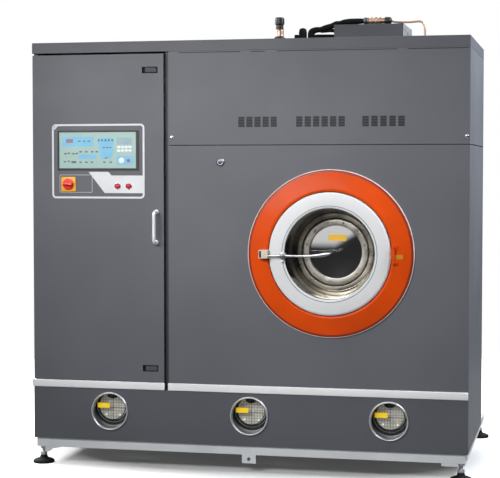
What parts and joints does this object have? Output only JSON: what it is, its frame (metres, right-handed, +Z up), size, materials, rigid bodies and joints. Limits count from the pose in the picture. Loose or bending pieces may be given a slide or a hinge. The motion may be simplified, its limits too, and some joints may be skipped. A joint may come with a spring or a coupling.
{
  "type": "dry cleaning machine",
  "caption": "Free-standing cabinet dry cleaning machine with a round loading door, a control door, solvent tank sight glasses and a belt-driven drum.",
  "frame": {"origin": "middle of the length and depth, on the floor under the feet", "axes": "+X to the right seen from the front, +Y to the back, +Z up; the front panels face -Y"},
  "size_m": [1.882, 1.164, 1.919],
  "materials": {
    "graphite": "fine-textured satin powder coat",
    "orange": "semi-gloss paint",
    "white": "semi-gloss paint",
    "steel": "polished stainless steel",
    "chrome": "bright chrome",
    "silver": "silver grey paint",
    "zinc": "galvanised sheet",
    "black_plastic": "matt black plastic",
    "foot_black": "black foot pad on a zinc stem",
    "foam": "black pipe insulation",
    "belt": "black V-belt",
    "glass": "clear flat glass",
    "screen": "membrane panel",
    "switch_yellow": "yellow switch plate",
    "button_red": "red moulded plastic",
    "cream": "cream moulded plastic",
    "casting": "painted casting",
    "motor_blue": "painted motor case",
    "copper": "bare copper tube and fittings"
  },
  "bodies": {
    "cabinet": {"base_rail_front": "silver", "base_rail_rear": "silver", "base_rail_left": "silver", "base_rail_right": "silver", "base_cross_left": "silver", "base_cross_right": "silver", "foot_front_left": "foot_black", "foot_front_right": "foot_black", "foot_rear_left": "foot_black", "foot_rear_right": "foot_black", "kick_panel": "graphite", "side_panel_left": "graphite", "side_panel_right_lower": "graphite", "side_panel_right_upper": "graphite", "rear_panel": "graphite", "top_cap": "graphite", "upper_front_panel": "graphite", "main_front_panel": "graphite", "top_box": "graphite", "solvent_tank_bank": "steel", "tub": "steel", "sight_bezel_1": "chrome", "sight_bezel_2": "chrome", "sight_bezel_3": "chrome", "sight_glass_1": "glass", "sight_glass_2": "glass", "sight_glass_3": "glass", "trim_strip_left": "white", "trim_strip_right": "white", "divider_wall": "zinc", "control_plate": "zinc", "vent_stub": "black_plastic", "surround_ring": "orange", "loading_door_hinge": "orange", "lever_keeper": "cream", "bearing_housing": "casting", "motor": "motor_blue", "drive_belt": "belt", "insulated_pipe": "foam", "copper_line": "copper"},
    "control_door": {"control_door": "graphite", "screen_frame": "black_plastic", "control_screen": "screen", "main_switch": "switch_yellow", "button_bodies": "chrome", "bow_handle": "chrome"},
    "switch_knob": {"main_switch_knob": "button_red"},
    "start_button": {"push_button_1": "button_red"},
    "stop_button": {"push_button_2": "button_red"},
    "lower_latch": {"latch_paddle_lower": "black_plastic"},
    "upper_latch": {"latch_paddle_upper": "black_plastic"},
    "loading_door": {"door_ring": "white", "door_dish": "steel", "clamp_ring": "steel", "door_glass": "glass"},
    "door_lever": {"door_lever": "chrome"},
    "cam_lock": {"cam_lock": "chrome"},
    "drum": {"drum": "steel", "drum_shaft": "steel"},
    "motor_rotor": {"motor_pulley": "steel"}
  },
  "joints": [
    {"name": "control_door_swing", "type": "hinge", "parent": "cabinet", "child": "control_door", "pos_m": [-0.913, -0.513, 1.05], "axis": [0, 0, -1], "range_deg": [0, 100]},
    {"name": "main_switch_turn", "type": "hinge", "parent": "control_door", "child": "switch_knob", "pos_m": [-0.763, -0.523, 1.2], "axis": [0, 1, 0], "range_deg": [0, 90]},
    {"name": "start_button_press", "type": "slide", "parent": "control_door", "child": "start_button", "axis": [0, 1, 0], "range_m": [0, 0.004], "stiffness_N_per_m": 500, "springref_m": -0.002},
    {"name": "stop_button_press", "type": "slide", "parent": "control_door", "child": "stop_button", "axis": [0, 1, 0], "range_m": [0, 0.004], "stiffness_N_per_m": 500, "springref_m": -0.002},
    {"name": "lower_latch_pull", "type": "hinge", "parent": "control_door", "child": "lower_latch", "pos_m": [-0.431, -0.517, 0.425], "axis": [0, 0, -1], "range_deg": [0, 35], "stiffness_Nm_per_rad": 0.2, "springref_deg": -17.19},
    {"name": "upper_latch_pull", "type": "hinge", "parent": "control_door", "child": "upper_latch", "pos_m": [-0.431, -0.517, 1.6775], "axis": [0, 0, -1], "range_deg": [0, 35], "stiffness_Nm_per_rad": 0.2, "springref_deg": -17.19},
    {"name": "loading_door_swing", "type": "hinge", "parent": "cabinet", "child": "loading_door", "pos_m": [0.624, -0.557, 0.918], "axis": [0, 0, 1], "range_deg": [0, 115]},
    {"name": "door_lever_turn", "type": "hinge", "parent": "loading_door", "child": "door_lever", "pos_m": [0.172, -0.573, 0.91], "axis": [0, 1, 0], "range_deg": [0, 50]},
    {"name": "cam_lock_turn", "type": "hinge", "parent": "cabinet", "child": "cam_lock", "pos_m": [-0.1, -0.523, 1.293], "axis": [0, 1, 0], "range_deg": [0, 90]},
    {"name": "drum_spin", "type": "hinge", "parent": "cabinet", "child": "drum", "pos_m": [0.362, -0.223, 0.918], "axis": [0, 1, 0], "continuous": true},
    {"name": "motor_spin", "type": "hinge", "parent": "cabinet", "child": "motor_rotor", "pos_m": [0.345, 0.307, 0.262], "axis": [0, 1, 0], "continuous": true}
  ],
  "couplings": [
    {"joint": "motor_spin", "follows": "drum_spin", "ratio": 3.5581}
  ]
}
